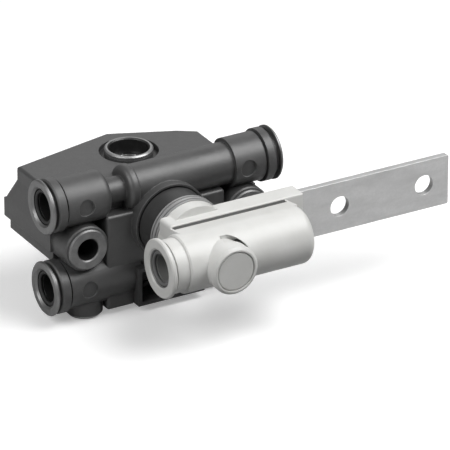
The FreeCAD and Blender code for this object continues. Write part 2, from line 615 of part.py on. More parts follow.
def lever_shaft():
    """Shaft with a head, a clip groove, a front journal with a flat, and the eccentric pin."""
    groove_start = "bush_front + gap"
    groove_end = "bush_front + gap + clip_thick + fit"
    shaft = turned("shaft", "-y", [
        ("bush_back - gap - head_thick", "0"),
        ("bush_back - gap - head_thick", "head_radius - small_chamfer"),
        ("bush_back - gap - head_thick + small_chamfer", "head_radius"),
        ("bush_back - gap", "head_radius"), ("bush_back - gap", "shaft_radius"),
        (groove_start, "shaft_radius"), (groove_start, "clip_groove"), (groove_end, "clip_groove"),
        (groove_end, "shaft_radius"), ("plate_front", "shaft_radius"),
        ("plate_front", "front_radius"), ("front_end - small_chamfer", "front_radius"),
        ("front_end", "front_radius - small_chamfer"), ("front_end", "0"),
    ])
    pin = rod("y", "pin_radius", "-(bush_back - gap - head_thick) - 1", "-pin_tip", "eccentric", "0")
    flat = block("-front_radius", "front_radius", "-(cylinder_back + pinion_half)",
                 "-(cylinder_back - pinion_half)", "front_radius - flat_depth", "front_radius + 1")
    return cut(fuse(shaft, pin), flat)


def drive_pinion():
    """Pinion with true involute teeth, one of them straight down into the rack at rest."""
    wires = fcgear.FCWireBuilder()
    involute.CreateExternalGear(
        wires, SIZES["gear_module"], SIZES["gear_teeth"], SIZES["pressure_angle"], True)
    face = Part.Face(Part.Wire([piece.toShape() for piece in wires.wire]))
    blank = face.extrude(FreeCAD.Vector(0, 0, number("2 * pinion_half")))
    tooth_down = FreeCAD.Rotation(FreeCAD.Vector(0, 0, 1), 90)
    teeth = doc.addObject("Part::Feature", "teeth")
    teeth.Shape = blank
    place(teeth, Z_TURN["y"].multiply(tooth_down), "0", "-(cylinder_back + pinion_half)", "0")
    bore = rod("y", "front_radius + fit / 2", "-(cylinder_back + pinion_half) - 1",
               "-(cylinder_back - pinion_half) + 1", "0", "0")
    key = block("-front_radius * 2 / 3", "front_radius * 2 / 3", "-(cylinder_back + pinion_half)",
                "-(cylinder_back - pinion_half)", "front_radius - flat_depth + fit / 2",
                "front_radius")
    return fuse(cut(teeth, bore), key)


def rack_piston():
    """Piston with a seal groove, a guide groove and a slot whose floor is the rack."""
    groove_left = "-piston_left + 1.2"
    groove_right = "-piston_left + 1.2 + piston_groove"
    guide_left = "slot_right + 1.6"
    guide_right = "slot_right + 1.6 + guide_wide"
    piston = turned("piston", "+x", [
        ("-piston_left", "0"), ("-piston_left", f"{PISTON_RADIUS} - small_chamfer"),
        ("-piston_left + small_chamfer", PISTON_RADIUS), (groove_left, PISTON_RADIUS),
        (groove_left, f"{PISTON_RADIUS} - piston_groove_deep"),
        (groove_right, f"{PISTON_RADIUS} - piston_groove_deep"), (groove_right, PISTON_RADIUS),
        (guide_left, PISTON_RADIUS), (guide_left, f"{PISTON_RADIUS} - guide_deep"),
        (guide_right, f"{PISTON_RADIUS} - guide_deep"), (guide_right, PISTON_RADIUS),
        ("piston_right - small_chamfer", PISTON_RADIUS),
        ("piston_right", f"{PISTON_RADIUS} - small_chamfer"), ("piston_right", "spring_recess"),
        ("piston_right - spring_recess_deep", "spring_recess"),
        ("piston_right - spring_recess_deep", "0"),
    ], y="-cylinder_back")
    across = ("-cylinder_back - cylinder_bore - 1", "-cylinder_back + cylinder_bore + 1")
    tip_level = f"-({PITCH_RADIUS} - rack_addendum)"
    tools = [block("-slot_left", "slot_right", *across, tip_level, "slot_top")]
    half_count = SIZES["rack_teeth"] // 2
    pitch = "(3.14159265 * gear_module)"
    top_half = f"({pitch} / 4 + rack_backlash / 2 + rack_addendum * tan(pressure_angle))"
    deep = "(1.25 * gear_module)"
    floor_half = f"({pitch} / 4 + rack_backlash / 2 - {deep} * tan(pressure_angle))"
    for step in range(-half_count, half_count + 1):
        middle = f"{step} * {pitch}"
        tools.append(prism("gap", "xz", [
            (f"{middle} - {floor_half}", f"-{PITCH_RADIUS} - {deep}"),
            (f"{middle} + {floor_half}", f"-{PITCH_RADIUS} - {deep}"),
            (f"{middle} + {top_half}", tip_level), (f"{middle} - {top_half}", tip_level),
        ], across[1], "2 * cylinder_bore + 2"))
    return cut(piston, *tools)


def lever_carrier():
    """Moulded lever carrier: spigot, hub lobe, strip plate, web, cylinder, front knob and bores."""
    spigot = rod("y", "spigot_radius", "-plate_front", "-carrier_back", "0", "0")
    lobe = rod("y", "lobe_radius", "-lobe_front", "-lobe_back", "0", "0")
    plate = prism("plate", "yz", [
        ("-plate_front", "-plate_half"), ("-plate_front", PLATE_TOP), ("-plate_back", PLATE_TOP),
        ("-plate_back", "-plate_half"),
    ], "-plate_left", "plate_left + plate_right")
    rounded(plate, "plate_round", lambda box: box.ZMax < NEAR and box.YMin > number(PLATE_TOP) - NEAR)
    rounded(plate, "small_chamfer", lambda box: box.ZLength > number("plate_right"))
    tangent_y = "-cylinder_back + cylinder_radius * sin(web_slope)"
    tangent_z = "cylinder_radius * cos(web_slope)"
    web_end = "-plate_front + 1"
    web_top = f"{tangent_z} - ({web_end} - ({tangent_y})) * tan(web_slope)"
    web = prism("web", "yz", [
        (tangent_y, f"-{tangent_z}"), (tangent_y, tangent_z), (web_end, web_top),
        (web_end, f"-({web_top})"),
    ], "-plate_left", "plate_left + web_right")
    cylinder = turned("cylinder", "+x", [
        ("-neck_left", "0"), ("-neck_left", "neck_outer"), ("-cylinder_left", "neck_outer"),
        ("-cylinder_left", "cylinder_radius - small_chamfer"),
        ("-cylinder_left + small_chamfer", "cylinder_radius"),
        ("cylinder_right", "cylinder_radius"), ("cylinder_right", "0"),
    ], y="-cylinder_back")
    rounded(cylinder, "cylinder_round", lambda box: box.XMin > number("cylinder_right") - NEAR)
    knob = turned("knob", "-y", [
        ("cylinder_back", "0"), ("knob_face", "0"), ("knob_face", "knob_radius - knob_chamfer"),
        ("knob_face - knob_chamfer", "knob_radius"), ("cylinder_back", "knob_radius"),
    ])
    solid = fuse(spigot, lobe, plate, web, cylinder, knob)
    return cut(solid, *lever_carrier_cuts())


def lever_carrier_cuts():
    """Bores, strip pocket, screw holes and surface lines of the carrier."""
    cuts = [
        rod("y", "shaft_bore", "-plate_front - 1", "-carrier_back + 1", "0", "0"),
        rod("y", "shaft_bore + 0.2", "-nose_bush_front - 1", "-plate_front", "0", "0"),
        rod("y", "front_cap_radius + fit", "-knob_face - 1", "-nose_bush_front", "0", "0"),
        rod("x", "cylinder_bore", "-neck_left - 1", "cylinder_right - cylinder_end_wall",
            "-cylinder_back", "0"),
        block("strip_left - fit", "plate_right + 1", "-strip_front - fit",
              "-strip_front + strip_thick + fit", "-strip_half - fit", "strip_half + fit"),
        block("-plate_left + 1", "web_right - 1", "-plate_front - groove_wide", "-plate_front",
              "groove_floor", f"{PLATE_TOP} + 1"),
        block("knob_radius + crescent_out", "cylinder_right + 1",
              "-cylinder_back - cylinder_radius - 1", "-cylinder_back - cylinder_radius + crease_deep",
              "crease_drop", "crease_drop + crease_wide"),
    ]
    shell = cut(
        rod("y", "knob_radius + crescent_out", "-crescent_front", "-crescent_back", "0", "0"),
        rod("y", "knob_radius - crescent_in", "-crescent_front - 1", "-crescent_back + 1", "0", "0"),
    )
    cuts.append(common(shell, block("-crescent_left", "crescent_right", "-crescent_front - 1",
                                    "-crescent_back + 1", "crescent_low", "knob_radius * 2")))
    for x in SCREW_PLACES:
        cuts.append(rod("y", "screw_radius + fit", "-plate_back - screw_depth - strip_thick",
                        "-plate_back + 1", x, "0"))
    return cuts


SCREW_PLACES = ("screw_near", "(screw_near + screw_spacing)")


def strip_screws():
    """Two screws from behind, through the plate and the strip."""
    screws = []
    for x in SCREW_PLACES:
        screw = turned("screw", "-y", [
            ("plate_back - screw_head_thick", "0"),
            ("plate_back - screw_head_thick", "screw_head - small_chamfer"),
            ("plate_back - screw_head_thick + small_chamfer", "screw_head"),
            ("plate_back", "screw_head"), ("plate_back", "screw_radius"),
            ("plate_back + screw_depth + strip_thick - gap", "screw_radius"),
            ("plate_back + screw_depth + strip_thick - gap", "0"),
        ], x=x)
        drive = "driver_half"
        slots = [
            block(f"{x} - {drive} * 1.6", f"{x} + {drive} * 1.6", "-plate_back + screw_head_thick / 2",
                  "-plate_back + screw_head_thick + 1", f"-{drive} / 3", f"{drive} / 3"),
            block(f"{x} - {drive} / 3", f"{x} + {drive} / 3", "-plate_back + screw_head_thick / 2",
                  "-plate_back + screw_head_thick + 1", f"-{drive} * 1.6", f"{drive} * 1.6"),
        ]
        screws.append(cut(screw, *slots))
    return group(*screws)


def lever_strip():
    """Flat steel lever with two link holes and two screw holes."""
    back = "-strip_front + strip_thick"
    strip = prism("strip", "xz", [
        ("strip_left", "-strip_half"), ("strip_right", "-strip_half"), ("strip_right", "strip_half"),
        ("strip_left", "strip_half"),
    ], back, "strip_thick")
    rounded(strip, "strip_round", lambda box: box.XLength < NEAR and box.YLength < NEAR
            and box.XMin > number("strip_right") - NEAR)
    holes = [
        rod("y", "link_hole / 2", "-strip_front - 1", f"{back} + 1", x, "0")
        for x in ("link_near", "(link_near + link_spacing)")
    ]
    holes += [rod("y", "screw_radius + fit", "-strip_front - 1", f"{back} + 1", x, "0")
              for x in SCREW_PLACES]
    return cut(strip, *holes)


def cylinder_cap():
    """Screwed cap of the height cylinder with the control port through it."""
    floor = "(cap_reach - cap_end - cap_wall)"
    return turned("cap", "+x", [
        ("0", "mouth_radius + mouth_chamfer"), ("mouth_chamfer", "mouth_radius"),
        ("mouth_deep", "mouth_radius"), ("mouth_deep", "thread_radius"), (floor, "thread_radius"),
        (floor, "cap_hole"), ("cap_reach - cap_end", "cap_hole"),
        ("cap_reach - cap_end", "cylinder_bore - fit"),
        ("cap_reach - neck_left", "cylinder_bore - fit"), ("cap_reach - neck_left", "cap_neck"),
        ("cap_flange_thick", "cap_neck"), ("cap_flange_thick", "cap_flange - small_chamfer"),
        ("cap_flange_thick - small_chamfer", "cap_flange"), ("small_chamfer", "cap_flange"),
        ("0", "cap_flange - small_chamfer"),
    ], x="-cap_reach", y="-cylinder_back")


def tube(name, inner, outer, start, end):
    """A plain bush on the shaft's axis, from start to end in front of the mounting face."""
    return turned(name, "-y", [
        (start, inner), (end, inner), (end, f"{outer} - small_chamfer / 2"),
        (f"{end} - small_chamfer / 2", outer), (start, outer),
    ])


def shaft_seal():
    """Lip seal between the shaft and the housing: a ring with an inner lip."""
    start = "(bush_front + gap + clip_thick + gap)"
    return turned("seal", "-y", [
        (start, "shaft_radius + 1"), (f"{start} + lip_thick / 2", "shaft_radius + run"),
        (f"{start} + lip_thick", "shaft_radius + run"), (f"{start} + lip_thick", "shaft_bore - fit"),
        (start, "shaft_bore - fit"),
    ])


def hub_ring():
    """Cup pressed on the shaft in front of the housing, which keeps dirt out of the hub."""
    start, bottom = "(hub_face + gap)", "(hub_face + gap + hub_ring_web)"
    return turned("hub_ring", "-y", [
        (start, "shaft_radius + fit / 2"), (bottom, "shaft_radius + fit / 2"),
        (bottom, "spigot_radius + gap"), (HUB_RING_END, "spigot_radius + gap"),
        (HUB_RING_END, "hub_ring_radius - small_chamfer / 2"),
        (f"{HUB_RING_END} - small_chamfer / 2", "hub_ring_radius"), (start, "hub_ring_radius"),
    ])


def cover_ring():
    """Grooved ring on the carrier's spigot, between the hub ring and the carrier's lobe."""
    start, length = f"({HUB_RING_END} + gap)", f"(lobe_back - {HUB_RING_END} - gap)"
    points = [(start, "spigot_radius + fit / 2"), ("lobe_back", "spigot_radius + fit / 2"),
              ("lobe_back", "cover_radius")]
    for step in (3, 1):
        middle = f"{start} + {length} * {step} / 4"
        points += [(f"{middle} + cover_groove / 2", "cover_radius"),
                   (f"{middle} + cover_groove / 2", "cover_radius - cover_groove_deep"),
                   (f"{middle} - cover_groove / 2", "cover_radius - cover_groove_deep"),
                   (f"{middle} - cover_groove / 2", "cover_radius")]
    points.append((start, "cover_radius"))
    return turned("cover_ring", "-y", points)


def exhaust_hood():
    """Thin rectangular hood, open to the front, with two open eyes that hold the flap's pivots."""
    frame = cut(
        block("-hood_half", "hood_half", "-hood_front", "-hood_seat", "-hood_floor", "-hood_top"),
        block("-(hood_half - hood_wall)", "hood_half - hood_wall", "-hood_front - 1", "-hood_seat + 1",
              "-(hood_floor - hood_wall)", "-(hood_top + hood_wall)"),
    )
    eyes = []
    for side in (-1, 1):
        inner = "hood_half - hood_wall - hood_post"
        low, high = (f"-({inner} + hood_post)", f"-({inner})") if side < 0 else \
            (inner, f"{inner} + hood_post")
        eyes.append(block(low, high, "-hood_seat - hood_wall", "-hood_pocket_back - gap",
                          "-(hood_top + hood_wall + 2 * flap_drop)", "-(hood_top + hood_wall)"))
    axis_y, axis_z = "-flap_face - flap_thick / 2", "-(hood_top + hood_wall + flap_drop)"
    ends = ("-(hood_half - hood_wall / 2)", "hood_half - hood_wall / 2")
    hole = rod("x", "flap_pin + fit", *ends, axis_y, axis_z)
    way_in = block(*ends, axis_y, "-hood_pocket_back", f"{axis_z} - flap_pin - fit",
                   f"{axis_z} + flap_pin + fit")
    return cut(fuse(frame, *eyes), hole, way_in)


def exhaust_flap():
    """Flap that hangs on its moulded pivots and shuts the exhaust way."""
    half = "(hood_half - hood_wall - hood_post - flap_slack)"
    axis_y, axis_z = "-flap_face - flap_thick / 2", "-(hood_top + hood_wall + flap_drop)"
    plate = block(f"-{half}", half, "-flap_face - flap_thick", "-flap_face",
                  "-(hood_floor - hood_wall) + flap_slack", f"{axis_z} + flap_pin")
    pivot = rod("x", "flap_pin", "-(hood_half - hood_wall - flap_slack)",
                "hood_half - hood_wall - flap_slack", axis_y, axis_z)
    rib = block(f"-{half} * 2 / 3", f"{half} * 2 / 3", "-flap_face - 2 * flap_thick", "-flap_face",
                "-(hood_floor - hood_wall) + 4 * flap_slack", "-(hood_floor - hood_wall) + 6 * flap_slack")
    return fuse(plate, pivot, rib)


def snap_ring():
    """Internal snap ring over the top plug, split at the front."""
    foot = "(top_seat + top_plug_thick)"
    band = turned("snap", "+z", [
        (foot, "snap_inner"), (f"{foot} + snap_thick", "snap_inner"),
        (f"{foot} + snap_thick", "top_hole + snap_grip - fit"), (foot, "top_hole + snap_grip - fit"),
    ], y="-valve_back")
    split = block("-snap_gap / 2", "snap_gap / 2", "-valve_back - top_shank", "-valve_back",
                  foot, f"{foot} + 2 * snap_thick")
    return cut(band, split)


def top_ring():
    """Metal ring pressed into the deck over the valve bore, grooved for the snap ring."""
    foot = "(top_seat)"
    groove = "(top_seat + top_plug_thick)"
    rim = "(deck_top + top_ring_rise)"
    return turned("top_ring", "+z", [
        (foot, "top_hole"), (groove, "top_hole"), (groove, "top_hole + snap_grip"),
        (f"{groove} + snap_thick + fit", "top_hole + snap_grip"),
        (f"{groove} + snap_thick + fit", "top_hole"), (f"{rim} - small_chamfer", "top_hole"),
        (rim, "top_hole + small_chamfer"), (rim, "top_ring - small_chamfer"),
        (f"{rim} - small_chamfer", "top_ring"), ("deck_top", "top_ring"), ("deck_top", "top_shank"),
        (foot, "top_shank"),
    ], y="-valve_back")


def top_plug():
    """Plug that shuts the top of the valve bore, with a groove for its seal."""
    middle = TOP_SEAL_LEVEL
    half = "(seal_wire + fit)"
    return turned("plug", "+z", [
        ("sleeve_top + gap", "0"),
        ("sleeve_top + gap", "valve_bore - fit"), (f"{middle} - {half}", "valve_bore - fit"),
        (f"{middle} - {half}", "valve_bore - 2 * seal_wire - 2 * fit"),
        (f"{middle} + {half}", "valve_bore - 2 * seal_wire - 2 * fit"),
        (f"{middle} + {half}", "valve_bore - fit"), ("top_seat", "valve_bore - fit"),
        ("top_seat", "top_plug_flange"), ("top_seat + top_plug_thick", "top_plug_flange"),
        ("top_seat + top_plug_thick", "0"),
    ], y="-valve_back")


def hex_socket(x, y, z):
    """Hexagon hollow for a key, open downwards, as a tool to cut with."""
    socket = doc.addObject("Part::Prism", "socket")
    socket.Polygon = 6
    bind(socket, "Circumradius", "hex_half / cos(30)")
    bind(socket, "Height", "hex_deep")
    return place(socket, FreeCAD.Rotation(), x, y, z)


def bottom_cap():
    """Screwed cap under the valve bore with a groove for its seal."""
    foot = "(-tower_floor - bottom_thick)"
    groove_low = "(-tower_floor + 0.5)"
    groove_high = "(-tower_floor + 0.6 + 2 * bottom_seal_wire)"
    cap = turned("cap", "+z", [
        (foot, "0"), (foot, "bottom_flange - small_chamfer"), (f"{foot} + small_chamfer", "bottom_flange"),
        ("-tower_floor", "bottom_flange"), ("-tower_floor", "valve_bore - fit"),
        (groove_low, "valve_bore - fit"), (groove_low, "valve_bore - 2 * bottom_seal_wire - fit"),
        (groove_high, "valve_bore - 2 * bottom_seal_wire - fit"), (groove_high, "valve_bore - fit"),
        ("-valve_floor - gap", "valve_bore - fit"), ("-valve_floor - gap", "0"),
    ], y="-valve_back")
    return cut(cap, hex_socket("0", "-valve_back", f"{foot} - {NEAR}"))


def check_cap():
    """Screwed cap under the check valve, which carries the spring."""
    foot = "(-stub_floor - check_cap_thick)"
    cap = turned("cap", "+z", [
        (foot, "0"), (foot, "check_cap_flange - small_chamfer"),
        (f"{foot} + small_chamfer", "check_cap_flange"), ("-stub_floor", "check_cap_flange"),
        ("-stub_floor", "chamber_radius - fit"), ("-stub_floor + check_cap_plug", "chamber_radius - fit"),
        ("-stub_floor + check_cap_plug", "0"),
    ], x=CHECK_X, y="-bar_back")
    return cut(cap, hex_socket(CHECK_X, "-bar_back", f"{foot} - {NEAR}"))


def check_poppet():
    """Check valve poppet: a disc that shuts the seat, a nose in it, and a stem that ends its lift."""
    stem_end = "stub_floor - check_cap_plug - poppet_lift - gap"
    return turned("poppet", "-z", [
        ("seat_level + gap / 3 - 1.2", "0"), ("seat_level + gap / 3 - 1.2", "seat_radius - 0.7"),
        ("seat_level + gap / 3", "seat_radius - 0.15"), ("seat_level + gap / 3", "poppet_radius"),
        ("seat_level + gap / 3 + poppet_disc", "poppet_radius"),
        ("seat_level + gap / 3 + poppet_disc", "poppet_stem"), (stem_end, "poppet_stem"),
        (stem_end, "0"),
    ], x=CHECK_X, y="-bar_back")


# Housing and everything fixed to it
keep("valve_body", valve_body())
keep("mount_sleeve_left", mount_sleeve(-1))
keep("mount_sleeve_right", mount_sleeve(1))
keep("port_insert_left", port_insert("+x", "-port_reach", "-bar_back", "bar_height"))
keep("port_insert_right", port_insert("-x", "port_reach", "-bar_back", "bar_height"))
keep("port_insert_supply", port_insert("+x", "-supply_reach", "-bar_back", "-supply_drop"))
keep("port_seal_left", port_seal(-1, "port_reach", "bar_height"))
keep("port_seal_right", port_seal(1, "port_reach", "bar_height"))
keep("port_seal_supply", port_seal(-1, "supply_reach", "-supply_drop"))
keep("top_ring", top_ring())
keep("top_plug", top_plug())
keep("top_plug_seal", ring("z", "valve_bore - fit - seal_wire", "seal_wire", "0", "-valve_back",
                           TOP_SEAL_LEVEL))
keep("snap_ring", snap_ring())
keep("valve_sleeve", valve_sleeve())
keep("bottom_cap", bottom_cap())
keep("bottom_cap_seal", ring("z", "valve_bore - fit - bottom_seal_wire", "bottom_seal_wire", "0",
                             "-valve_back", "-tower_floor + 0.55 + bottom_seal_wire"))
keep("shaft_bush", tube("bush", "shaft_radius + run", "shaft_bore - fit", "bush_back", "bush_front"))
keep("shaft_seal", shaft_seal())
keep("check_cap", check_cap())
keep("check_spring", spring("z", "(poppet_stem + check_wire + 0.25)", "check_wire", "0",
                            "stub_floor - check_cap_plug - seat_level - poppet_disc - gap / 3"
                            " - 2 * check_wire - 0.1", 3,
                            CHECK_X, "-bar_back", "-stub_floor + check_cap_plug + check_wire + 0.05"))
keep("exhaust_hood", exhaust_hood())
keep("gallery_plugs", group(*[plug_rod(place_name, "0", "0") for place_name in PLUG_PLACES]))

# What turns with the shaft
keep("lever_shaft", lever_shaft())
keep("shaft_clip", tube("clip", "clip_groove + fit / 2", "head_radius", "bush_front + gap",
                        "bush_front + gap + clip_thick"))
keep("hub_ring", hub_ring())
keep("drive_pinion", drive_pinion())

# Spool
keep("valve_spool", valve_spool())
keep("spool_seals", seal_stack(spool_seal_levels(), "spool_radius - seal_wire + 0.01",
                               "seal_wire", "-valve_back"))

# Check valve and exhaust flap
keep("check_poppet", check_poppet())
keep("exhaust_flap", exhaust_flap())

# Lever
keep("lever_carrier", lever_carrier())
keep("cover_ring", cover_ring())
keep("hub_bush", tube("bush", "shaft_radius + run", "shaft_bore - fit", "carrier_back", "plate_front"))
keep("nose_bush", tube("bush", "front_radius + run", "shaft_bore + 0.2 - fit", "nose_bush_back",
                       "nose_bush_front"))
keep("front_cap", turned("cap", "-y", [
    ("nose_bush_front", "0"), ("nose_bush_front + front_cap_thick", "0"),
    ("nose_bush_front + front_cap_thick", "front_cap_radius - small_chamfer"),
    ("nose_bush_front + front_cap_thick - small_chamfer", "front_cap_radius"),
    ("nose_bush_front", "front_cap_radius"),
]))
keep("cylinder_cap", cylinder_cap())
keep("control_port_seal", ring("x", "mouth_radius - port_seal_wire - fit", "port_seal_wire",
                               "-cap_reach + mouth_deep - port_seal_wire", "-cylinder_back", "0"))
keep("lever_strip", lever_strip())
keep("strip_screws", strip_screws())
keep("piston_spring", spring("x", "spring_coil", "piston_wire", "0",
                             "cylinder_right - cylinder_end_wall - piston_right + spring_recess_deep"
                             " - 2 * piston_wire - 0.1", 6,
                             "piston_right - spring_recess_deep + piston_wire + 0.05",
                             "-cylinder_back", "0"))

# Rack piston
keep("rack_piston", rack_piston())
keep("piston_seal", turned("seal", "+x", [
    ("-piston_left + 1.25", f"{PISTON_RADIUS} - piston_groove_deep + 0.02"),
    ("-piston_left + 1.15 + piston_groove", f"{PISTON_RADIUS} - piston_groove_deep + 0.02"),
    ("-piston_left + 1.15 + piston_groove", "cylinder_bore - 0.02"),
    ("-piston_left + 1.15 + piston_groove / 2", f"{PISTON_RADIUS} - 0.4"),
    ("-piston_left + 1.25", "cylinder_bore - 0.02"),
], y="-cylinder_back"))
keep("guide_ring", turned("guide", "+x", [
    ("slot_right + 1.65", f"{PISTON_RADIUS} - guide_deep + 0.02"),
    ("slot_right + 1.55 + guide_wide", f"{PISTON_RADIUS} - guide_deep + 0.02"),
    ("slot_right + 1.55 + guide_wide", "cylinder_bore - 0.02"),
    ("slot_right + 1.65", "cylinder_bore - 0.02"),
], y="-cylinder_back"))

doc.recompute()
faults = [
    item.Name + " " + ",".join(item.State)
    for item in doc.Objects if "Invalid" in item.State or "Error" in item.State
]
for item in subparts:
    if item.Shape.isNull() or not item.Shape.isValid():
        faults.append(item.Label + " has no valid shape")
if faults:
    raise SystemExit("part is not sound: " + "; ".join(faults))

os.makedirs("parts", exist_ok=True)
for item in subparts:
    item.Shape.exportStep(f"parts/{item.Label}.step")
    print(f"{item.Label:22s} solids {len(item.Shape.Solids)}  volume {item.Shape.Volume:10.2f} mm3")
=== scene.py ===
import math

import bpy
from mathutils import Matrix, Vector


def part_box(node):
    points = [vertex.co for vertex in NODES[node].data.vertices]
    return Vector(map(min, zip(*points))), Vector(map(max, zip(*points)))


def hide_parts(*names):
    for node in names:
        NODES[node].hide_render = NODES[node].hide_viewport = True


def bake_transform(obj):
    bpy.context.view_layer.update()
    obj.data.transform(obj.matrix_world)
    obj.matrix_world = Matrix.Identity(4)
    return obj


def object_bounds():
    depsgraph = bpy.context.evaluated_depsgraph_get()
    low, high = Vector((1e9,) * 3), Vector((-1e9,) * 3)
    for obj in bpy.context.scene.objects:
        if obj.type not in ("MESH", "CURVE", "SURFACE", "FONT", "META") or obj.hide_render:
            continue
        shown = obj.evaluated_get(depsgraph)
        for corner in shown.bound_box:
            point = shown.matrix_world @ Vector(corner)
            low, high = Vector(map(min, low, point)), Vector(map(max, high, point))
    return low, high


# Air suspension leveling valve: its finishes, its light and its camera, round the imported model.
# All is in metres, in the model's frame: X along the lever, Y towards the mounting face, Z up.

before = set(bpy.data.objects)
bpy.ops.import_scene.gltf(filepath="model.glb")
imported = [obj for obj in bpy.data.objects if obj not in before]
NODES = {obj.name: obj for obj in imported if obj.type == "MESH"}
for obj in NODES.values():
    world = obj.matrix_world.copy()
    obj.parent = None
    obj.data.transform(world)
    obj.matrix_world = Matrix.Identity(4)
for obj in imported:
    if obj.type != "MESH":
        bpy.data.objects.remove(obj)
cad_low, cad_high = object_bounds()
MM = 0.001
ALONG = {"x": (1, 0, 0), "y": (0, 1, 0), "z": (0, 0, 1)}


# Node helpers


def new_material(name):
    """A material with an empty tree, its shader and its output."""
    material = bpy.data.materials.new(name)
    material.use_nodes = True
    tree = material.node_tree
    tree.nodes.clear()
    output = tree.nodes.new("ShaderNodeOutputMaterial")
    shader = tree.nodes.new("ShaderNodeBsdfPrincipled")
    tree.links.new(shader.outputs["BSDF"], output.inputs["Surface"])
    return material, tree, shader


def add(tree, kind, settings=None, **inputs):
    """A node. Settings are its properties. Inputs are numbers, colours or other nodes' sockets.

    An input goes by its socket's name, or by i and its socket's number.
    """
    node = tree.nodes.new("ShaderNode" + kind)
    for key, value in (settings or {}).items():
        setattr(node, key, value)
    for key, value in inputs.items():
        numbered = key[0] == "i" and key[1:].isdigit()
        socket = node.inputs[int(key[1:]) if numbered else key]
        if isinstance(value, bpy.types.NodeSocket):
            tree.links.new(value, socket)
        else:
            socket.default_value = value
    return node


def maths(tree, operation, first, second):
    """One operation on two values, each a number or a socket."""
    return add(tree, "Math", {"operation": operation}, i0=first, i1=second).outputs[0]


def times(tree, first, second):
    return maths(tree, "MULTIPLY", first, second)


def plus(tree, first, second):
    return maths(tree, "ADD", first, second)


def less(tree, first, second):
    """1 where the first is the smaller, and 0 elsewhere."""
    return maths(tree, "LESS_THAN", first, second)


def mixture(tree, share, first, second):
    """A share of the first value and the rest of the second."""
    return plus(tree, times(tree, first, share), times(tree, second, 1 - share))


def vector_maths(tree, operation, first, second=(0, 0, 0)):
    """One operation on vectors. A length and a dot product come out as a number."""
    node = add(tree, "VectorMath", {"operation": operation}, i0=first, i1=second)
    return node.outputs["Value" if operation in ("LENGTH", "DOT_PRODUCT") else "Vector"]


def place_in_object(tree, shift=(0, 0, 0), stretch=(1, 1, 1)):
    """A place on the piece in metres, counted from shift and then stretched."""
    where = add(tree, "TexCoord").outputs["Object"]
    return vector_maths(tree, "MULTIPLY", vector_maths(tree, "SUBTRACT", where, shift), stretch)


def noise(tree, where, size, detail=3.0, roughness=0.5):
    """A noise whose features measure about size metres. It gives a value round 0.5."""
    node = add(tree, "TexNoise", Vector=where, Scale=1.0 / size, Detail=detail, Roughness=roughness)
    return node.outputs["Fac"]


def spread(tree, value, low, high, start=0.3, end=0.7):
    """The value's stretch from start to end, mapped on low to high and held at its ends."""
    node = add(tree, "MapRange", {"clamp": True}, i0=value, i1=start, i2=end, i3=low, i4=high)
    return node.outputs[0]


def off_axis(tree, where, axis):
    """How far a place lies from the axis through the origin."""
    across = tuple(1 - part for part in ALONG[axis])
    return vector_maths(tree, "LENGTH", vector_maths(tree, "MULTIPLY", where, across))


def in_bore(tree, where, axis, radius):
    """1 within a radius of the axis through the origin, and 0 outside."""
    return less(tree, off_axis(tree, where, axis), radius)


def in_box(tree, low, high):
    """1 inside a box given in the piece's own millimetres, and 0 outside."""
    centre = [(a + b) / 2 * MM for a, b in zip(low, high)]
    half = [(b - a) / 2 * MM for a, b in zip(low, high)]
    away = vector_maths(tree, "ABSOLUTE", place_in_object(tree, shift=centre))
    parts = add(tree, "SeparateXYZ", Vector=away).outputs
    in_x, in_y, in_z = (less(tree, part, reach) for part, reach in zip(parts, half))
    return times(tree, times(tree, in_x, in_y), in_z)


def rounded_normal(tree, radius, samples=6):
    """The surface's normal, as if its edges were rounded to a radius."""
    return add(tree, "Bevel", {"samples": samples}, Radius=radius).outputs[0]


def edge_mask(tree, radius, full_edge=0.80, no_edge=0.995):
    """1 on edges, inside and outside ones, and 0 on flats.

    It goes by how far a rounded normal turns, as the cosine of the turn.
    """
    flat = add(tree, "NewGeometry").outputs["Normal"]
    turn = vector_maths(tree, "DOT_PRODUCT", rounded_normal(tree, radius), flat)
    return spread(tree, turn, 1.0, 0.0, start=full_edge, end=no_edge)


def relief(tree, shader, height, depth, edge_radius):
    """Bump of the given depth in metres over edges rounded to a radius."""
    bump = add(tree, "Bump", Strength=1.0, Distance=depth, Height=height,
               Normal=rounded_normal(tree, edge_radius))
    tree.links.new(bump.outputs[0], shader.inputs["Normal"])


# Colours


def grey(value):
    """A neutral colour."""
    return (value, value, value, 1.0)


def scaled(colour, factor):
    """A darker or a lighter shade of a colour."""
    return tuple(min(1.0, part * factor) for part in colour[:3]) + (1.0,)


def blend_colour(tree, amount, first, second):
    """Between two colours, each a colour or a socket, which go to the node's sockets 6 and 7."""
    node = add(tree, "Mix", {"data_type": "RGBA"}, Factor=amount, i6=first, i7=second)
    return node.outputs[2]


def dress(tree, shader, colour, roughness):
    """Lead a colour and a roughness into the shader."""
    tree.links.new(colour, shader.inputs["Base Color"])
    tree.links.new(roughness, shader.inputs["Roughness"])


# Finishes


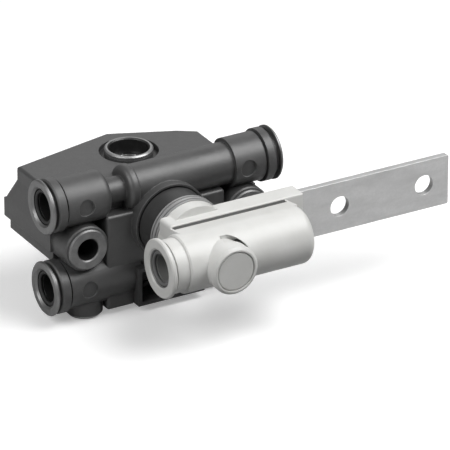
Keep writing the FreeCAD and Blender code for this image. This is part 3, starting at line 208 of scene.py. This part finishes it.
def coated_casting(name):
    """Satin black coat on a sand-blasted aluminium casting; edges rubbed pale, with painted
    highlight.
    """
    deep, plain, dusty, rubbed_and_highlit = grey(0.038), grey(0.055), grey(0.070), grey(0.17)
    gloss, rub_and_highlight_strength = 0.85, 0.55
    rub_and_highlight_width, edge_radius, grain_depth = 0.45 * MM, 0.35 * MM, 0.035 * MM
    material, tree, shader = new_material(name)
    shader.inputs["Specular IOR Level"].default_value = gloss
    where = place_in_object(tree)
    cloud = noise(tree, where, size=14 * MM, detail=4)
    blotch = noise(tree, where, size=2.2 * MM, detail=3)
    grain = noise(tree, where, size=0.45 * MM, detail=2, roughness=0.6)
    colour = blend_colour(tree, spread(tree, cloud, 0, 1), deep, plain)
    colour = blend_colour(tree, spread(tree, blotch, 0, 0.35), colour, dusty)
    patchy = spread(tree, blotch, 0.25, 1.0, start=0.35, end=0.6)
    # Paler edges in patches: rubbed wear, and a painted edge highlight.
    worn_and_highlit = times(tree, times(tree, edge_mask(tree, rub_and_highlight_width), patchy), rub_and_highlight_strength)
    colour = blend_colour(tree, worn_and_highlit, colour, rubbed_and_highlit)
    dress(tree, shader, colour, spread(tree, mixture(tree, 0.6, cloud, grain), 0.40, 0.56))
    relief(tree, shader, plus(tree, grain, times(tree, blotch, 0.8)), grain_depth, edge_radius)
    return material


def moulded(name, colour, deep_colour, roughness, scatter=0.0, shade_boxes=(), bore=None):
    """Moulded plastic: faint mottle, a fine satin grain, soft edges, and painted shade in hollows.

    Shade is painted in the shade boxes and in the bore, which is an axis, a point on it and a
    radius.
    """
    box_shade, box_shade_strength = grey(0.10), 0.75
    bore_shade, bore_shade_strength = grey(0.07), 0.8
    scatter_reach = (0.6 * MM, 0.55 * MM, 0.5 * MM)
    edge_radius, grain_depth = 0.35 * MM, 0.012 * MM
    material, tree, shader = new_material(name)
    where = place_in_object(tree)
    mottle = noise(tree, where, size=9 * MM, detail=4)
    grain = noise(tree, where, size=0.25 * MM, detail=2)
    specks = noise(tree, where, size=1.1 * MM, detail=3)
    skin = blend_colour(tree, spread(tree, mottle, 0, 1), deep_colour, colour)
    speckled = spread(tree, specks, 0, 0.18, start=0.55, end=0.75)
    skin = blend_colour(tree, speckled, skin, deep_colour)
    # Inside each shade box the plastic is painted darker, as shade in the slot.
    for low, high in shade_boxes:
        skin = blend_colour(tree, times(tree, in_box(tree, low, high), box_shade_strength), skin, box_shade)
    # Inside the bore the plastic is painted darker, as shade.
    if bore:
        axis, point, radius = bore
        inside = in_bore(tree, place_in_object(tree, shift=point), axis, radius)
        skin = blend_colour(tree, times(tree, inside, bore_shade_strength), skin, bore_shade)
    dress(tree, shader, skin, spread(tree, mottle, roughness - 0.05, roughness + 0.07))
    if scatter:
        shader.inputs["Subsurface Weight"].default_value = scatter
        shader.inputs["Subsurface Radius"].default_value = scatter_reach
        shader.inputs["Subsurface Scale"].default_value = 1.0
    relief(tree, shader, plus(tree, grain, times(tree, specks, 0.7)), grain_depth, edge_radius)
    return material


def turned_metal(name, colour, axis, centre, roughness=0.36, metallic=1.0, bore=0.0):
    """Plated or bare metal from a lathe: marks round one axis, uneven plating, painted shade in the
    bore.
    """
    dull, rubbed_and_highlit, bore_shade = scaled(colour, 0.72), scaled(colour, 1.5), grey(0.03)
    rub_and_highlight_width, rub_and_highlight_strength, bore_shade_strength = 0.25 * MM, 0.45, 0.9
    edge_radius, mark_depth = 0.22 * MM, 0.006 * MM
    material, tree, shader = new_material(name)
    shader.inputs["Metallic"].default_value = metallic
    where = place_in_object(tree, shift=centre)
    level = vector_maths(tree, "DOT_PRODUCT", where, ALONG[axis])
    lathe = add(tree, "CombineXYZ", X=off_axis(tree, where, axis), Y=level).outputs[0]
    marks = noise(tree, lathe, size=0.35 * MM, detail=3, roughness=0.6)
    cloud = noise(tree, where, size=3.5 * MM, detail=4)
    skin = blend_colour(tree, spread(tree, cloud, 0, 1), dull, colour)
    # Lighter edges: rubbed wear, and a painted edge highlight.
    worn_and_highlit = times(tree, edge_mask(tree, rub_and_highlight_width), rub_and_highlight_strength)
    skin = blend_colour(tree, worn_and_highlit, skin, rubbed_and_highlit)
    # Inside the bore the metal is painted darker, as shade.
    if bore:
        inside = in_bore(tree, where, axis, bore)
        skin = blend_colour(tree, times(tree, inside, bore_shade_strength), skin, bore_shade)
    uneven = mixture(tree, 0.6, cloud, marks)
    dress(tree, shader, skin, spread(tree, uneven, roughness - 0.07, roughness + 0.10))
    relief(tree, shader, marks, mark_depth, edge_radius)
    return material


def rolled_bar(name, colour):
    """Zinc-plated rolled bar: long faint roll lines, spangled patches, painted highlight on rubbed
    edges.
    """
    dull, dusty, rubbed_and_highlit = scaled(colour, 0.78), grey(0.42), grey(0.9)
    line_stretch, patch_stretch = (0.04, 1, 1), (0.35, 1, 1)
    edge_radius, rub_and_highlight_strength, line_depth = 0.3 * MM, 0.6, 0.010 * MM
    material, tree, shader = new_material(name)
    shader.inputs["Metallic"].default_value = 0.85
    lines = noise(tree, place_in_object(tree, stretch=line_stretch), size=0.35 * MM, roughness=0.6)
    patches = noise(tree, place_in_object(tree, stretch=patch_stretch), size=5 * MM, detail=4)
    fine = noise(tree, place_in_object(tree), size=0.8 * MM)
    skin = blend_colour(tree, spread(tree, patches, 0, 1), dull, colour)
    skin = blend_colour(tree, spread(tree, fine, 0, 0.25), skin, dusty)
    # Bright edges: rubbed wear, and a painted edge highlight.
    worn_and_highlit = times(tree, edge_mask(tree, edge_radius), rub_and_highlight_strength)
    skin = blend_colour(tree, worn_and_highlit, skin, rubbed_and_highlit)
    dress(tree, shader, skin, spread(tree, mixture(tree, 0.55, patches, lines), 0.34, 0.50))
    relief(tree, shader, plus(tree, lines, times(tree, fine, 0.5)), line_depth, edge_radius)
    return material


def soft_rubber(name):
    """Black rubber with a powdery, slightly uneven skin."""
    deep, powdery = grey(0.016), grey(0.034)
    edge_radius, grain_depth = 0.1 * MM, 0.01 * MM
    material, tree, shader = new_material(name)
    where = place_in_object(tree)
    powder = noise(tree, where, size=1.5 * MM, detail=4)
    grain = noise(tree, where, size=0.2 * MM, detail=2)
    skin = blend_colour(tree, spread(tree, powder, 0, 1), deep, powdery)
    dress(tree, shader, skin, spread(tree, powder, 0.55, 0.75))
    relief(tree, shader, grain, grain_depth, edge_radius)
    return material


# What wears what


def paint(material, *nodes):
    """Give CAD nodes one material."""
    for node in nodes:
        slots = NODES[node].data.materials
        slots.clear()
        slots.append(material)


def middle(node):
    """The centre of a node's box."""
    low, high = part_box(node)
    return tuple((low + high) / 2)


def paint_lathed(colour, axis, *nodes, **finish):
    """Give each of these nodes a turned metal of its own, with marks round its own axis."""
    for node in nodes:
        paint(turned_metal(node + "_metal", colour, axis, middle(node), **finish), node)


WHITE, WHITE_DEEP = (0.67, 0.67, 0.655, 1), (0.61, 0.61, 0.59, 1)
CAP_WHITE, CAP_WHITE_DEEP = (0.65, 0.65, 0.635, 1), (0.59, 0.59, 0.57, 1)
ACETAL, ACETAL_DEEP = (0.72, 0.71, 0.67, 1), (0.62, 0.61, 0.57, 1)
STEEL, SPRING_STEEL, PISTON_SPRING_STEEL = grey(0.50), grey(0.45), grey(0.55)
SLEEVE_STEEL, PORT_METAL, RING_METAL = grey(0.22), grey(0.25), grey(0.36)
BLACK_PLUG, SIDE_PLUGS, SCREW_ZINC, BAR_ZINC = grey(0.05), grey(0.45), grey(0.52), grey(0.62)
BRONZE = (0.60, 0.42, 0.20, 1)
WHITE_SCATTER = 0.06

# The slot between the carrier's plate and its cylinder, painted dark as shade, as two corners in
# millimetres.
SLOT = ((-12.3, -74.35, 6.9), (35.1, -72.4, 9.9))
# Out to these radii, a little over each mouth, the inside is painted dark as shade.
CONTROL_MOUTH, PORT_MOUTH, RING_MOUTH, SLEEVE_MOUTH = 7.2 * MM, 6.9 * MM, 8.0 * MM, 4.3 * MM
# The marks of the side plugs run round the frame's X axis, those of the screws round a line
# halfway between the two.
PLUG_CENTRE, SCREW_CENTRE = (0, 0, 0), (28 * MM, 0, 0)

paint(coated_casting("coated_casting"), "valve_body")
paint(moulded("black_plastic", grey(0.050), grey(0.034), roughness=0.44), "exhaust_hood")
paint(moulded("dark_plastic", grey(0.040), grey(0.030), roughness=0.42), "hub_ring")
paint(moulded("grey_plastic", grey(0.36), grey(0.27), roughness=0.46), "cover_ring")
paint(moulded("grey_rubber", grey(0.16), grey(0.11), roughness=0.60), "control_port_seal")
paint(moulded("piston_plastic", grey(0.085), grey(0.060), roughness=0.45), "rack_piston")
paint(moulded("acetal", ACETAL, ACETAL_DEEP, roughness=0.36), "guide_ring", "check_poppet")
# The carrier's slot gets painted shade.
paint(moulded("carrier_plastic", WHITE, WHITE_DEEP, roughness=0.40, scatter=WHITE_SCATTER,
              shade_boxes=[SLOT]), "lever_carrier")
# The cap's bore is painted dark as shade.
paint(moulded("cylinder_cap_plastic", CAP_WHITE, CAP_WHITE_DEEP, roughness=0.38,
              scatter=WHITE_SCATTER, bore=("x", middle("cylinder_cap"), CONTROL_MOUTH)),
      "cylinder_cap")
paint(moulded("front_cap_plastic", CAP_WHITE, CAP_WHITE_DEEP, roughness=0.38,
              scatter=WHITE_SCATTER), "front_cap")
paint(soft_rubber("rubber"), "exhaust_flap", "port_seal_left", "port_seal_right",
      "port_seal_supply", "top_plug_seal", "bottom_cap_seal", "shaft_seal", "spool_seals",
      "piston_seal")

# The bores of the sleeves, ports and ring are painted dark as shade.
paint_lathed(SLEEVE_STEEL, "y", "mount_sleeve_left", "mount_sleeve_right",
             roughness=0.46, metallic=0.8, bore=SLEEVE_MOUTH)
paint_lathed(PORT_METAL, "x", "port_insert_left", "port_insert_right", "port_insert_supply",
             roughness=0.42, metallic=0.85, bore=PORT_MOUTH)
paint_lathed(RING_METAL, "z", "top_ring", roughness=0.40, metallic=0.85, bore=RING_MOUTH)
paint_lathed(BLACK_PLUG, "z", "top_plug", roughness=0.5, metallic=0.0)
paint_lathed(STEEL, "z", "bottom_cap", "check_cap", "valve_sleeve", "valve_spool", roughness=0.34)
paint_lathed(STEEL, "y", "shaft_clip", "lever_shaft", "drive_pinion", roughness=0.28)
paint_lathed(SPRING_STEEL, "z", "snap_ring", "check_spring", roughness=0.30)
paint_lathed(PISTON_SPRING_STEEL, "x", "piston_spring", roughness=0.30)
paint_lathed(BRONZE, "y", "shaft_bush", "hub_bush", "nose_bush", roughness=0.40)
paint(turned_metal("plug_metal", SIDE_PLUGS, "x", PLUG_CENTRE), "gallery_plugs")
paint(turned_metal("screw_metal", SCREW_ZINC, "y", SCREW_CENTRE, roughness=0.34), "strip_screws")
paint(rolled_bar("rolled_bar", BAR_ZINC), "lever_strip")


# Springs, each shown by a copy of its node


def live_spring(node):
    """A copy that stands for a spring's node, which is hidden."""
    source = NODES[node]
    coil = bpy.data.objects.new(node + "_coil", source.data.copy())
    bpy.context.scene.collection.objects.link(coil)
    coil.matrix_world = source.matrix_world.copy()
    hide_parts(node)
    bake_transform(coil)


live_spring("piston_spring")
live_spring("check_spring")


# Floor, light and camera


FLOOR_GAP = 0.2 * MM
HEART = Vector((17.0, -60.0, 0.0)) * MM


def floor(level, size=1.6, shown=0.86, glow=0.30, mirrored=0.66, lit=0.17):
    """A plain pale floor that keeps the object's shadow.

    The camera sees the shown tone and the glow, gloss the mirrored tone, and all else the lit one.
    """
    bpy.ops.mesh.primitive_plane_add(size=size, location=(0, 0, level))
    plane = bpy.context.object
    plane.name = "floor"
    material, tree, shader = new_material("pale_floor")
    shader.inputs["Roughness"].default_value = 0.9
    shader.inputs["Specular IOR Level"].default_value = 0.1
    shader.inputs["Emission Color"].default_value = grey(1.0)
    rays = add(tree, "LightPath").outputs
    unseen = blend_colour(tree, rays["Is Glossy Ray"], grey(lit), grey(mirrored))
    colour = blend_colour(tree, rays["Is Camera Ray"], unseen, grey(shown))
    tree.links.new(colour, shader.inputs["Base Color"])
    tree.links.new(times(tree, rays["Is Camera Ray"], glow), shader.inputs["Emission Strength"])
    plane.data.materials.append(material)


def surround(ambient, reflected):
    """A world that is white to look at, pale to reflect, and gives only a little even light."""
    world = bpy.data.worlds.new("surround")
    bpy.context.scene.world = world
    world.use_nodes = True
    tree = world.node_tree
    tree.nodes.clear()
    output = tree.nodes.new("ShaderNodeOutputWorld")
    rays = add(tree, "LightPath").outputs
    seen = times(tree, rays["Is Camera Ray"], 1.0 - ambient)
    gloss = times(tree, rays["Is Glossy Ray"], reflected - ambient)
    strength = plus(tree, plus(tree, seen, gloss), ambient)
    background = add(tree, "Background", Color=grey(1.0), Strength=strength)
    tree.links.new(background.outputs[0], output.inputs["Surface"])


def softbox(name, direction, distance, size, power):
    """A square soft light that faces the heart of the object from a direction."""
    lamp = bpy.data.lights.new(name, "AREA")
    lamp.shape = "SQUARE"
    lamp.size, lamp.energy = size, power
    holder = bpy.data.objects.new(name, lamp)
    bpy.context.scene.collection.objects.link(holder)
    holder.location = HEART + Vector(direction) * distance
    holder.rotation_euler = (HEART - holder.location).to_track_quat("-Z", "Y").to_euler()


floor(cad_low.z - FLOOR_GAP)
surround(ambient=0.09, reflected=0.25)
softbox("key_light", direction=(0.42, -0.36, 0.83), distance=0.85, size=0.65, power=8.0)
softbox("side_light", direction=(-0.78, -0.15, 0.60), distance=0.80, size=0.45, power=3.3)
softbox("back_light", direction=(0.42, 0.78, 0.45), distance=0.90, size=0.6, power=0.8)

# The photograph was taken from far away, left of the front and above.
AZIMUTH, ELEVATION, DISTANCE = math.radians(-29.7), math.radians(26.1), 2.2
LOOKED_AT = Vector((17.0, -60.0, -1.5)) * MM
PIXELS_PER_METRE, PICTURE_WIDTH, SENSOR = 2710.0, 450.0, 36.0
NEAR, FAR = 0.1, 10.0
towards_camera = Vector((
    math.sin(AZIMUTH) * math.cos(ELEVATION),
    -math.cos(AZIMUTH) * math.cos(ELEVATION),
    math.sin(ELEVATION),
))
camera = bpy.data.objects.new("camera", bpy.data.cameras.new("camera"))
bpy.context.scene.collection.objects.link(camera)
camera.location = LOOKED_AT + towards_camera * DISTANCE
camera.rotation_euler = (-towards_camera).to_track_quat("-Z", "Y").to_euler()
camera.data.sensor_width = SENSOR
camera.data.lens = PIXELS_PER_METRE * DISTANCE / PICTURE_WIDTH * SENSOR
camera.data.clip_start, camera.data.clip_end = NEAR, FAR
bpy.context.scene.camera = camera
bpy.context.scene.view_settings.view_transform = "Standard"
